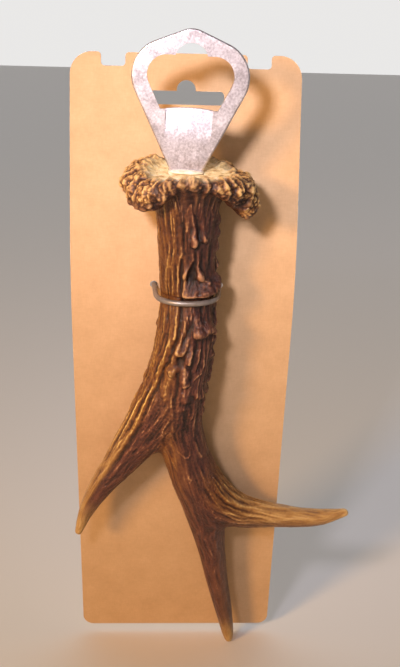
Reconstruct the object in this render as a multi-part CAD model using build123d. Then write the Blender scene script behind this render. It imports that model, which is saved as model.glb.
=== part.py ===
from build123d import *
import math
import os

# Souvenir bottle opener: a stamped steel opener head glued into the burr end of
# a roe-deer antler, tied with one wire to a board display card with a hang slot.
# Millimetres. +Z is up, the front faces -Y, and the origin is the centre of the
# hang slot on the card's front face.

# ---- driving dimensions ----------------------------------------------------
CARD_WIDTH = 100.0
CARD_TOP_Z = 18.3
CARD_BOTTOM_Z = -279.0
CARD_THICKNESS = 1.0
CARD_TOP_RADIUS = 9.5
CARD_BOTTOM_RADIUS = 5.5
BOW_Z = -76.0              # height of the card's crest, pulled forward by the tie
BOW_RADIUS = 150.0
BOW_LEAN = 9.6             # lean of the flat stretches above and below the crest

NOTCH_X = 31.5             # locating notches in the card's top edge
NOTCH_WIDTH = 10.5
NOTCH_DEPTH = 5.7
NOTCH_CORNER = 1.6

SLOT_WIDTH = 33.0
SLOT_HEIGHT = 5.7
SLOT_CORNER = 2.0
SLOT_BUMP_RADIUS = 4.1
SLOT_BUMP_TOP = 7.4        # top of the round bump above the slot's centre

TIE_Z = -81.5              # height of the tie where it grips the shaft
TIE_X = 1.4                # the shaft's centre there
WIRE_DIAMETER = 2.3
WIRE_HOLE_Z = -80.3
WIRE_HOLE_HALF_SPAN = 14.55
WIRE_HOLE_DIAMETER = 3.4
WIRE_BACK_HALF = 14.7
WIRE_BACK_GAP = 0.25
WIRE_BACK_BEND = 1.4
WIRE_FRONT_BEND = 12.3
WIRE_FRONT_HALF = 12.6
WIRE_FRONT_REACH = 25.6    # from the card's front face to the wire's front run
WIRE_DROP = 1.9            # the front run is this much lower than the holes
TWIST_DIAMETER = 4.4
TWIST_LENGTH = 16.0
TWIST_GAP = 1.4
TWIST_RISE = 1.5           # the twist starts this far above the holes

SHAFT_AXIS_OFFSET = 12.4   # shaft centre in front of the card at the tie
OVERRUN = 5.0              # how far a shape runs past the outline that trims it
SMALL = 0.1                # margin when picking corners by their place

PLATE_THICKNESS = 2.6
PLATE_EDGE_ROUND = 0.8
PLATE_ENTRY = (-0.25, -31.4, -27.8)   # where the head's centreline enters the antler
PLATE_TILT = 1.7           # clockwise, seen from the front
PLATE_LEAN = 4.6           # forward lean of the head
PLATE_APEX_HEIGHT = 56.0
PLATE_SHOULDER_SLOPE = 0.403
PLATE_SIDE_SLOPE = 0.495
PLATE_HALF_NECK = 6.45
PLATE_CORNER_RADIUS = 14.0
PLATE_APEX_RADIUS = 9.0
MOUTH_TOP = 45.3
MOUTH_HALF_BOTTOM = 11.5
MOUTH_BOTTOM = 24.3
MOUTH_SIDE_SLOPE = 0.49
MOUTH_CORNER_RADIUS = 7.7
MOUTH_LIP_CORNER = 1.2
MOUTH_LIP_RISE = 1.0
LOBE_HALF_WIDTH = 6.3
LOBE_HEIGHT = 4.7
TONGUE_HALF_WIDTH = 9.3
TONGUE_START = 15.0         # where the tongue starts to slope back
TONGUE_SET_BACK = 1.4       # at the end of the slope, just past the lip
TANG_HALF_WIDTH = 4.6
TANG_LENGTH = 32.0
TANG_SHOULDER = 5.0
TANG_HOLE_DIAMETER = 4.0
TANG_HOLE_DEPTHS = (12.8, 24.0)

POCKET_WIDTH = 14.6
POCKET_DEPTH_FRONT_BACK = 6.6
POCKET_LENGTH = 33.5
POCKET_CORNER = 2.0
POCKET_OVERRUN = 20.0
FILL_PROUD = 0.6
BEAD_RADII = (7.0, 1.1, 2.3)   # across the plate, up it and out from it
BEAD_HEIGHT = 0.2
BEAD_STANDOFF = 1.4

# ---- antler centrelines ----------------------------------------------------
# Stations of (x, offset in front of (-) or behind (+) the leaning axis, z, radius).
BEAM = [
    (0.6, 0.0, -32.0, 15.0),
    (0.7, 0.0, -44.0, 13.3),
    (1.0, 0.0, -60.0, 12.5),
    (1.3, 0.0, -72.0, 12.1),
    (TIE_X, 0.0, TIE_Z, 11.5),
    (1.2, -1.7, -92.0, 12.3),
    (0.3, -3.0, -104.0, 12.9),
    (-1.6, -3.5, -118.0, 13.4),
    (-2.6, -2.9, -134.0, 12.4),
    (-0.7, -2.2, -148.0, 11.2),
    (5.0, -1.7, -170.0, 11.1),
    (12.3, -1.0, -194.0, 10.2),
    (16.8, 0.0, -218.5, 7.1),
    (20.6, 0.0, -240.0, 5.6),
    (24.6, 0.0, -259.0, 4.6),
    (27.6, 0.0, -275.5, 3.2),
    (28.4, 0.0, -280.5, 2.2),
]
LEFT_TINE = [
    (-1.0, -3.0, -116.0, 9.0),
    (-7.9, -2.8, -131.8, 12.6),
    (-14.6, -2.2, -145.3, 11.3),
    (-22.6, -1.8, -158.3, 9.5),
    (-30.2, -2.8, -169.5, 7.4),
    (-36.9, -3.8, -179.2, 5.8),
    (-44.2, -5.2, -192.3, 3.9),
    (-48.7, -6.6, -205.0, 2.0),
]
RIGHT_TINE = [
    (7.0, -2.4, -172.0, 8.5),
    (15.0, -2.6, -184.0, 9.8),
    (22.6, -2.5, -191.0, 9.3),
    (30.7, -2.2, -195.3, 8.3),
    (39.8, -2.4, -196.8, 6.9),
    (49.0, -2.8, -197.7, 5.9),
    (60.0, -3.4, -198.4, 4.9),
    (70.0, -3.8, -197.9, 4.1),
    (81.3, -4.2, -195.0, 2.1),
]
BURR_CENTRE_Z = -30.0
BURR_CENTRE_X = 1.2
BURR_RADIUS = 24.5
BURR_DISH_RADIUS = 14.5
BURR_RIM_RADIUS = 20.5
BURR_RIM_HEIGHT = 2.2      # height of the dished middle; the rim is twice as high
BURR_SIDE_BOTTOM = -5.0
BURR_UNDERSIDE = -10.5
BURR_NECK_RADIUS = 11.0
BURR_NECK_BOTTOM = -12.0
# Burr lobes: angle round the rim seen from above, distance out, height, radius.
BURR_LOBES = [
    (5.0, 21.0, -4.5, 6.6),
    (40.0, 19.5, -1.0, 5.0),
    (75.0, 19.5, -2.0, 5.2),
    (110.0, 19.5, -1.0, 5.0),
    (145.0, 20.0, -0.5, 5.4),
    (182.0, 21.0, -3.5, 6.4),
    (215.0, 20.0, -5.0, 6.0),
    (250.0, 19.5, -3.0, 5.2),
    (285.0, 19.5, -3.0, 5.0),
    (320.0, 20.5, -4.5, 6.0),
]
BURR_HANGING_LOBE = (25.0, -32.5, -40.5, 6.2)   # x, y, z, radius

LEAN_RATE = math.tan(math.radians(BOW_LEAN))
BEND_HALF_HEIGHT = BOW_RADIUS * math.sin(math.radians(BOW_LEAN))
BEND_DEPTH = BOW_RADIUS * (1.0 - math.cos(math.radians(BOW_LEAN)))
CREST_Y = -(BEND_DEPTH + (-BOW_Z - BEND_HALF_HEIGHT) * LEAN_RATE)


def card_front_y(z):
    """Front face of the bowed card at height z."""
    away = abs(z - BOW_Z)
    if away <= BEND_HALF_HEIGHT:
        return CREST_Y + BOW_RADIUS - math.sqrt(BOW_RADIUS**2 - away**2)
    return CREST_Y + BEND_DEPTH + (away - BEND_HALF_HEIGHT) * LEAN_RATE


def shaft_axis_y(z):
    """The antler leans so that its burr clears the card above the tie."""
    return CREST_Y - SHAFT_AXIS_OFFSET + (TIE_Z - z) * LEAN_RATE


def display_card():
    """Bowed board with two locating notches, a hang slot and two wire holes."""
    low_bend = BOW_Z - BEND_HALF_HEIGHT
    high_bend = BOW_Z + BEND_HALF_HEIGHT
    ends = [
        (card_front_y(CARD_BOTTOM_Z - OVERRUN), CARD_BOTTOM_Z - OVERRUN),
        (card_front_y(low_bend), low_bend),
        (CREST_Y, BOW_Z),
        (card_front_y(high_bend), high_bend),
        (card_front_y(CARD_TOP_Z + OVERRUN), CARD_TOP_Z + OVERRUN),
    ]
    backs = [(y + CARD_THICKNESS, z) for y, z in ends]
    edges = []
    for run in (ends, backs):
        edges.append(Line(run[0], run[1]))
        edges.append(ThreePointArc(run[1], run[2], run[3]))
        edges.append(Line(run[3], run[4]))
    edges.append(Line(ends[0], backs[0]))
    edges.append(Line(ends[4], backs[4]))
    sheet = extrude(Plane.YZ * make_face(edges), amount=CARD_WIDTH, both=True)

    height = CARD_TOP_Z - CARD_BOTTOM_Z
    middle = (CARD_TOP_Z + CARD_BOTTOM_Z) / 2.0
    outline = Pos(0, middle) * Rectangle(CARD_WIDTH, height)
    for side in (-1, 1):
        notch = Rectangle(NOTCH_WIDTH, 2.0 * NOTCH_DEPTH)
        outline -= Pos(side * NOTCH_X, CARD_TOP_Z) * notch
    half = CARD_WIDTH / 2.0 - SMALL
    corners = outline.vertices().filter_by(lambda v: abs(v.X) > half)
    outline = fillet(corners.filter_by(lambda v: v.Y > 0), CARD_TOP_RADIUS)
    corners = outline.vertices().filter_by(lambda v: v.Y < CARD_BOTTOM_Z + SMALL)
    outline = fillet(corners, CARD_BOTTOM_RADIUS)
    reach = NOTCH_X + NOTCH_WIDTH / 2.0 + SMALL
    corners = outline.vertices().filter_by(lambda v: v.Y > 0 and abs(v.X) < reach)
    outline = fillet(corners, NOTCH_CORNER)

    slot = RectangleRounded(SLOT_WIDTH, SLOT_HEIGHT, SLOT_CORNER)
    slot += Pos(0, SLOT_BUMP_TOP - SLOT_BUMP_RADIUS) * Circle(SLOT_BUMP_RADIUS)
    outline -= slot
    for side in (-1, 1):
        hole = Circle(WIRE_HOLE_DIAMETER / 2.0)
        outline -= Pos(TIE_X + side * WIRE_HOLE_HALF_SPAN, WIRE_HOLE_Z) * hole
    return sheet & extrude(Plane.XZ * outline, amount=CARD_WIDTH, both=True)


def tie_wire():
    """One wire round the shaft and through the card, twisted together behind."""
    back_reach = CARD_THICKNESS + WIRE_BACK_GAP + WIRE_DIAMETER / 2.0
    slope = math.degrees(math.atan2(WIRE_DROP, WIRE_FRONT_REACH))
    loop_plane = Plane(
        origin=(TIE_X, CREST_Y, WIRE_HOLE_Z),
        x_dir=(1, 0, 0),
        z_dir=Vector(0, 0, 1).rotate(Axis.X, slope),
    )
    back_left = (-WIRE_BACK_HALF, back_reach)
    back_right = (WIRE_BACK_HALF, back_reach)
    front_left = (-WIRE_FRONT_HALF, -WIRE_FRONT_REACH)
    front_right = (WIRE_FRONT_HALF, -WIRE_FRONT_REACH)
    path = FilletPolyline(
        back_left, front_left, front_right, back_right, close=True,
        radius=[WIRE_BACK_BEND, WIRE_FRONT_BEND, WIRE_FRONT_BEND, WIRE_BACK_BEND],
    )
    path = loop_plane * path
    section = Plane(origin=path @ 0, z_dir=path % 0) * Circle(WIRE_DIAMETER / 2.0)
    loop = sweep(section, path=path)
    print("wire bend radii", WIRE_BACK_BEND, WIRE_FRONT_BEND)
    print("wire volume", loop.volume, "section x length", section.area * path.length)
    twist_y = CREST_Y + CARD_THICKNESS + TWIST_DIAMETER / 2.0 + TWIST_GAP
    twist = Pos(TIE_X, twist_y, WIRE_HOLE_Z - TWIST_LENGTH / 2.0 + TWIST_RISE)
    twist = twist * Cylinder(TWIST_DIAMETER / 2.0, TWIST_LENGTH)
    return loop + twist


def tapered_branch(stations):
    """A smooth round branch through the stations, with a rounded tip."""
    centres = [Vector(x, shaft_axis_y(z) + dy, z) for x, dy, z, _ in stations]
    sections = []
    last = len(stations) - 1
    for index, station in enumerate(stations):
        ahead = centres[min(index + 1, last)]
        behind = centres[max(index - 1, 0)]
        plane = Plane(origin=centres[index], z_dir=(ahead - behind))
        sections.append(plane * Circle(station[3]))
    branch = loft(sections)
    tip = centres[-1]
    return branch + Pos(tip.X, tip.Y, tip.Z) * Sphere(stations[-1][3])


def burr():
    """The lumpy ring at the base of the antler, dished on top."""
    centre_y = shaft_axis_y(BURR_CENTRE_Z)
    plane = Plane(
        origin=(BURR_CENTRE_X, centre_y, BURR_CENTRE_Z),
        x_dir=(1, 0, 0),
        z_dir=(0, -LEAN_RATE, 1),
    )
    profile = Polyline(
        (0, BURR_RIM_HEIGHT), (BURR_DISH_RADIUS, BURR_RIM_HEIGHT),
        (BURR_RIM_RADIUS, 2.0 * BURR_RIM_HEIGHT), (BURR_RADIUS, 0.0),
        (BURR_RADIUS, BURR_SIDE_BOTTOM), (BURR_RIM_RADIUS, BURR_UNDERSIDE),
        (BURR_NECK_RADIUS, BURR_NECK_BOTTOM), (0, BURR_NECK_BOTTOM), close=True,
    )
    disc = revolve(Plane.XZ * make_face(profile), Axis.Z)
    lumps = []
    for angle, out, height, radius in BURR_LOBES:
        turn = math.radians(angle)
        place = Pos(out * math.cos(turn), out * math.sin(turn), height)
        lumps.append(place * Sphere(radius))
    ring = plane * (disc + lumps)
    x, y, z, radius = BURR_HANGING_LOBE
    return ring + Pos(x, y, z) * Sphere(radius)


def head_plane():
    """Local frame of the opener head: x across, y up the head, z to the front."""
    across = Vector(1, 0, 0).rotate(Axis.Y, PLATE_TILT)
    normal = Vector(0, -1, 0).rotate(Axis.X, PLATE_LEAN)
    normal = normal - across * normal.dot(across)
    return Plane(origin=PLATE_ENTRY, x_dir=across, z_dir=normal)


def head_outline():
    """Outer edge: straight flanks, round shoulders and a blunt apex."""
    reach = PLATE_HALF_NECK + PLATE_SIDE_SLOPE * PLATE_APEX_HEIGHT
    corner_x = reach / (1.0 + PLATE_SIDE_SLOPE * PLATE_SHOULDER_SLOPE)
    corner_y = PLATE_APEX_HEIGHT - PLATE_SHOULDER_SLOPE * corner_x
    points = [
        (-PLATE_HALF_NECK, 0), (PLATE_HALF_NECK, 0), (corner_x, corner_y),
        (0, PLATE_APEX_HEIGHT), (-corner_x, corner_y),
    ]
    face = make_face(Polyline(*points, close=True))
    shoulders = face.vertices().filter_by(lambda v: abs(v.X) > PLATE_CORNER_RADIUS)
    face = fillet(shoulders, PLATE_CORNER_RADIUS)
    apex = face.vertices().sort_by(Axis.Y)[-1]
    return fillet(apex, PLATE_APEX_RADIUS)


def mouth_outline():
    """Opening: rounded trapezoid with a lobe at the top and an arched lip."""
    top_half = MOUTH_HALF_BOTTOM + MOUTH_SIDE_SLOPE * (MOUTH_TOP - MOUTH_BOTTOM)
    lip = ThreePointArc(
        (-MOUTH_HALF_BOTTOM, MOUTH_BOTTOM),
        (0, MOUTH_BOTTOM + MOUTH_LIP_RISE),
        (MOUTH_HALF_BOTTOM, MOUTH_BOTTOM),
    )
    rest = Polyline(
        (MOUTH_HALF_BOTTOM, MOUTH_BOTTOM), (top_half, MOUTH_TOP),
        (-top_half, MOUTH_TOP), (-MOUTH_HALF_BOTTOM, MOUTH_BOTTOM),
    )
    face = make_face([lip, rest])
    upper = face.vertices().filter_by(lambda v: v.Y > MOUTH_TOP - SMALL)
    face = fillet(upper, MOUTH_CORNER_RADIUS)
    lower = face.vertices().filter_by(lambda v: v.Y < MOUTH_BOTTOM + SMALL)
    face = fillet(lower, MOUTH_LIP_CORNER)
    dome = make_face([
        ThreePointArc(
            (-LOBE_HALF_WIDTH, MOUTH_TOP), (0, MOUTH_TOP + LOBE_HEIGHT), (LOBE_HALF_WIDTH, MOUTH_TOP)
        ),
        Line((LOBE_HALF_WIDTH, MOUTH_TOP), (-LOBE_HALF_WIDTH, MOUTH_TOP)),
    ])
    return face + dome


def opener_plate():
    """Stamped head, with a cap-catching tongue that slopes back and a tang for the antler."""
    mouth = mouth_outline()
    half = PLATE_THICKNESS / 2.0
    blank = extrude(head_outline(), amount=half, both=True)
    rims = blank.edges().filter_by(lambda e: abs(e.center().Z) > half - SMALL and e.center().Y > SMALL)
    blank = fillet(rims, PLATE_EDGE_ROUND)
    blank -= extrude(mouth, amount=PLATE_THICKNESS, both=True)

    through = 4.0 * PLATE_THICKNESS
    end = MOUTH_BOTTOM + 2.0 * MOUTH_LIP_RISE
    window = Pos(0, (TONGUE_START + end) / 2.0, 0)
    window = window * Box(2.0 * TONGUE_HALF_WIDTH, end - TONGUE_START, through)
    side = Polyline(
        (TONGUE_START, -half), (end, -half - TONGUE_SET_BACK), (end, half - TONGUE_SET_BACK),
        (TONGUE_START, half), close=True,
    )
    tongue = extrude(Plane.YZ * make_face(side), amount=TONGUE_HALF_WIDTH, both=True)
    tongue -= extrude(mouth, amount=through, both=True)
    head = (blank - window) + tongue

    tang_points = [
        (-PLATE_HALF_NECK, 0.0), (PLATE_HALF_NECK, 0.0),
        (TANG_HALF_WIDTH, -TANG_SHOULDER), (TANG_HALF_WIDTH, -TANG_LENGTH),
        (-TANG_HALF_WIDTH, -TANG_LENGTH), (-TANG_HALF_WIDTH, -TANG_SHOULDER),
    ]
    tang = make_face(Polyline(*tang_points, close=True))
    for depth in TANG_HOLE_DEPTHS:
        tang -= Pos(0, -depth) * Circle(TANG_HOLE_DIAMETER / 2.0)
    tang = extrude(tang, amount=half, both=True)
    return head_plane() * (head + tang)


def tang_pocket(top):
    """The drilled and filed pocket, from its floor up to a height above the entry."""
    length = POCKET_LENGTH + top
    section = RectangleRounded(POCKET_WIDTH, POCKET_DEPTH_FRONT_BACK, POCKET_CORNER)
    floor = Pos(0, -POCKET_LENGTH, 0) * Rot(-90, 0, 0)
    return head_plane() * floor * extrude(section, amount=length)


def resin_bead():
    """Bead of resin along the foot of the head's front face."""
    place = Pos(0, BEAD_HEIGHT, PLATE_THICKNESS / 2.0 + BEAD_STANDOFF)
    return head_plane() * place * scale(Sphere(1.0), by=BEAD_RADII)


plate = opener_plate()
antler = tapered_branch(BEAM) + tapered_branch(LEFT_TINE) + tapered_branch(RIGHT_TINE) + burr()
antler -= tang_pocket(POCKET_OVERRUN)
fill = (tang_pocket(FILL_PROUD) + resin_bead()) - antler - plate

parts = {
    "display_card": display_card(),
    "tie_wire": tie_wire(),
    "antler_handle": antler,
    "adhesive_fill": fill,
    "opener_plate": plate,
}
os.makedirs("parts", exist_ok=True)
for name, shape in parts.items():
    export_step(shape, f"parts/{name}.step")
    box = shape.bounding_box()
    print(name, len(shape.solids()), round(shape.volume, 1), box.min, box.max)
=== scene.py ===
"""Souvenir bottle opener: an antler handle with a steel head, tied to a display card.

The antler's bone is a sampled distance field turned into a mesh. It and the tie are built
in millimetres and scaled to metres at the end; the stage, lights and camera are in metres.
"""
import math

import bpy
import numpy as np
from mathutils import Matrix, Vector, noise


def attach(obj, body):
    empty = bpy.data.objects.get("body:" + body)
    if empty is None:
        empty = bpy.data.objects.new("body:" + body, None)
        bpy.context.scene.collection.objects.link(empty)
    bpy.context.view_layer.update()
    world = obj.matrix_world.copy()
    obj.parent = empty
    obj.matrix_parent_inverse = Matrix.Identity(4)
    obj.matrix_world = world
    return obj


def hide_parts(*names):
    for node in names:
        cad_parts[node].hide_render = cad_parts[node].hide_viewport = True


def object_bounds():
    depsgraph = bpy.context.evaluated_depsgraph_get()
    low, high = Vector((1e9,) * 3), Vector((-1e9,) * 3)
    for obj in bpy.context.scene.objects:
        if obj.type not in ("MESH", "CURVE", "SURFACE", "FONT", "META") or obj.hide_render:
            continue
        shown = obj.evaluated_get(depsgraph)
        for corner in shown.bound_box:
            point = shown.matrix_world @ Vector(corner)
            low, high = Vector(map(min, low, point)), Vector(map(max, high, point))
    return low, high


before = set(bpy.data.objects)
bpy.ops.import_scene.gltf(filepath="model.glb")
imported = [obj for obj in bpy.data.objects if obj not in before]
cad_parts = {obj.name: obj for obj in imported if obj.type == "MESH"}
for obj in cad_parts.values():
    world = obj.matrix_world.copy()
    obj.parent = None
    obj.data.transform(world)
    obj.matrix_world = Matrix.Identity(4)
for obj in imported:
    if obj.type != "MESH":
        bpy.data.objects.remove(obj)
cad_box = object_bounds()

MM = 0.001

FRONT_GREY = (0.13, 0.11, 0.10)     # studio surroundings in front of the object
BACK_GREY = (0.82, 0.81, 0.80)      # and behind it, and the floor

# ---- places shared with the CAD model, in millimetres ----
BOW_Z = -76.0
BOW_RADIUS = 150.0
BOW_LEAN = math.radians(9.6)
LEAN_RATE = math.tan(BOW_LEAN)
BEND_HALF_HEIGHT = BOW_RADIUS * math.sin(BOW_LEAN)
BEND_DEPTH = BOW_RADIUS * (1.0 - math.cos(BOW_LEAN))
CREST_Y = -(BEND_DEPTH + (-BOW_Z - BEND_HALF_HEIGHT) * LEAN_RATE)
CARD_GAP = 0.5              # the bone stays this far in front of the card

TIE_X = 1.4
TIE_Z = -81.5
WIRE_RADIUS = 1.15
WIRE_HOLE_Z = -80.3
WIRE_BACK_HALF = 14.7
WIRE_BACK_REACH = 2.4
WIRE_FRONT_HALF = 12.6
WIRE_FRONT_REACH = 25.6
WIRE_BACK_BEND = 1.4
WIRE_FRONT_BEND = 12.3
WIRE_DROP = 1.9
TWIST_RADIUS = 1.12         # the two ends, twisted together behind the card
TWIST_TURNS = 2.5
TWIST_LENGTH = 14.0

SHAFT_AXIS_OFFSET = 12.4
HEAD_ENTRY = np.array([-0.25, -31.4, -27.8])
HEAD_TILT = math.radians(1.7)
HEAD_LEAN = math.radians(4.6)
TONGUE_START = 15.0         # above the foot of the head
TONGUE_HALF_WIDTH = 9.3
TONGUE_SLOPE = 0.124
BEND_REACH = 0.004          # in metres, to each side of the bend
LOOP_CLEAR_RADIUS = 11.55   # the bone stays inside this where the tie goes round it
CLEAR_BAND = (2.2, 5.2)     # above and below the tie: fully held in, and free again
POCKET_HALF_WIDTH = 7.3
POCKET_HALF_DEPTH = 3.3
POCKET_LENGTH = 33.5
POCKET_MARGIN = 0.3         # smaller all round, so that the resin covers the walls

# Stations of (x, offset from the leaning axis, z, radius), as in the CAD model.
BEAM = [
    (0.6, 0.0, -33.0, 14.4),
    (0.7, 0.0, -44.0, 12.9),
    (1.0, 0.0, -60.0, 12.1),
    (1.3, 0.0, -72.0, 11.8),
    (1.4, 0.0, -81.5, 11.2),
    (1.2, -1.7, -92.0, 11.9),
    (0.3, -3.0, -104.0, 12.5),
    (-1.6, -3.5, -118.0, 13.0),
    (-2.6, -2.9, -134.0, 12.0),
    (-0.7, -2.2, -148.0, 10.8),
    (5.0, -1.7, -170.0, 10.7),
    (12.3, -1.0, -194.0, 9.8),
    (16.8, 0.0, -218.5, 6.9),
    (20.6, 0.0, -240.0, 5.5),
    (24.6, 0.0, -259.0, 4.5),
    (27.6, 0.0, -275.5, 3.1),
    (28.4, 0.0, -280.5, 2.1),
]
LEFT_TINE = [
    (-1.0, -3.0, -116.0, 9.0),
    (-7.9, -2.8, -131.8, 12.2),
    (-14.6, -2.2, -145.3, 10.9),
    (-22.6, -1.8, -158.3, 9.1),
    (-30.2, -2.8, -169.5, 7.1),
    (-36.9, -3.8, -179.2, 5.6),
    (-44.2, -5.2, -192.3, 3.8),
    (-48.7, -6.6, -205.0, 1.9),
]
RIGHT_TINE = [
    (7.0, -2.4, -172.0, 8.2),
    (15.0, -2.6, -184.0, 9.5),
    (22.6, -2.5, -191.0, 9.0),
    (30.7, -2.2, -195.3, 8.0),
    (39.8, -2.4, -196.8, 6.7),
    (49.0, -2.8, -197.7, 5.7),
    (60.0, -3.4, -198.4, 4.8),
    (70.0, -3.8, -197.9, 4.0),
    (81.3, -4.2, -195.0, 2.0),
]

# Ledges that stand out of the shaft and overhang below: radius of the edge, how far the
# ledge rises behind it, then places on its edge as (z, angle round the shaft, how far out).
# Angle 0 is to the right and 90 to the front.
LEDGES = [
    (1.1, 8.0, (-76.4, 99, 1.4), (-77.4, 94, 2.4), (-77.5, 87, 2.9), (-76.8, 80, 2.8), (-76.0, 75, 2.0)),
    (1.2, 6.0, (-76.4, 72, 2.2), (-76.5, 66, 3.2), (-75.6, 58, 3.7), (-75.1, 48, 4.0), (-75.3, 38, 4.0),
        (-74.0, 27, 4.2), (-72.6, 17, 3.0)),
    (1.35, 8.0, (-94.8, 69, 1.7), (-96.0, 66, 2.6), (-95.6, 62, 2.3)),
    (0.9, 5.0, (-95.8, 60, 1.9), (-94.9, 52, 2.0), (-94.2, 43, 2.4), (-94.8, 32, 2.8), (-95.6, 22, 2.7)),
    (1.2, 5.0, (-98.6, 18, 1.9), (-98.8, 8, 1.6)),
    (1.5, 5.0, (-105.6, 20, 1.7), (-106.0, 10, 1.8)),
    (0.65, 4.0, (-103.2, 105, 0.7), (-104.2, 101, 1.4), (-104.5, 97, 1.5), (-103.4, 94, 1.0)),
    (0.8, 6.0, (-107.0, 110, 0.8), (-107.6, 107, 0.9)),
    (0.65, 6.0, (-111.8, 109, 0.9), (-112.8, 106, 1.3), (-112.4, 103, 1.2), (-110.8, 101, 0.8)),
    (0.75, 8.0, (-115.2, 85, 1.2), (-116.3, 82, 1.6), (-116.8, 78, 1.2), (-116.0, 75, 0.8)),
    (0.8, 7.0, (-106.6, 79, 1.0), (-107.2, 77, 1.1)),
    (0.7, 5.0, (-123.8, 79, 0.8), (-124.8, 75, 1.3), (-125.2, 71, 1.0), (-124.8, 67, 0.8)),
    (0.8, 5.0, (-122.2, 60, 0.6), (-121.8, 55, 1.0), (-122.6, 48, 1.3), (-124.4, 42, 1.8), (-123.8, 33, 1.4)),
    (0.6, 3.5, (-130.0, 83, 0.5), (-129.6, 79, 0.9), (-129.0, 75, 0.9)),
    (1.0, 7.0, (-53.4, 79, 1.4), (-54.4, 76, 1.7)),
    (0.95, 5.0, (-52.6, 61, 1.2), (-53.2, 57, 1.5)),
    (0.9, 4.0, (-67.4, 96, 1.0), (-68.0, 94, 1.2)),
    (0.9, 4.0, (-68.0, 67, 1.3), (-69.2, 64, 1.6)),
    (1.1, 6.0, (-58.0, 18, 1.4), (-59.0, 6, 1.2)),
    (1.2, 6.0, (-113.8, 14, 1.4), (-114.2, 4, 1.4)),
    (1.0, 6.0, (-88.6, 4, 1.2), (-89.0, -8, 1.4)),
    (1.1, 7.0, (-64.0, 240, 1.2), (-64.6, 232, 1.4)),
    (1.1, 7.0, (-102.0, 300, 1.0), (-102.6, 290, 1.2)),
    (1.1, 7.0, (-96.0, 205, 0.9), (-96.6, 196, 1.1)),
    (1.0, 7.0, (-120.0, 320, 1.0), (-120.4, 310, 1.2)),
]

# Small pearls down the beam's right-hand side: (z, angle, how far out).
PEARLS = [
    (-47.5, 6, 1.1), (-52.6, 12, 1.3), (-67.0, 2, 1.2), (-84.5, 8, 1.0), (-92.6, 4, 1.5), (-101.4, 6, 1.1),
    (-109.6, 4, 1.3), (-118.0, 10, 1.3), (-124.4, 8, 1.4), (-130.8, 14, 1.2), (-137.6, 10, 1.0),
]
LEDGES += [
    (0.85, 5.0, (z, angle + 8, 0.8 * out), (z - 0.6, angle, out), (z, angle - 8, 0.8 * out))
    for z, angle, out in PEARLS
]
LEDGE_RISE = 0.5            # share of each ledge's rise that its slope takes up
LEDGE_SOFTNESS = 1.6

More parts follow.
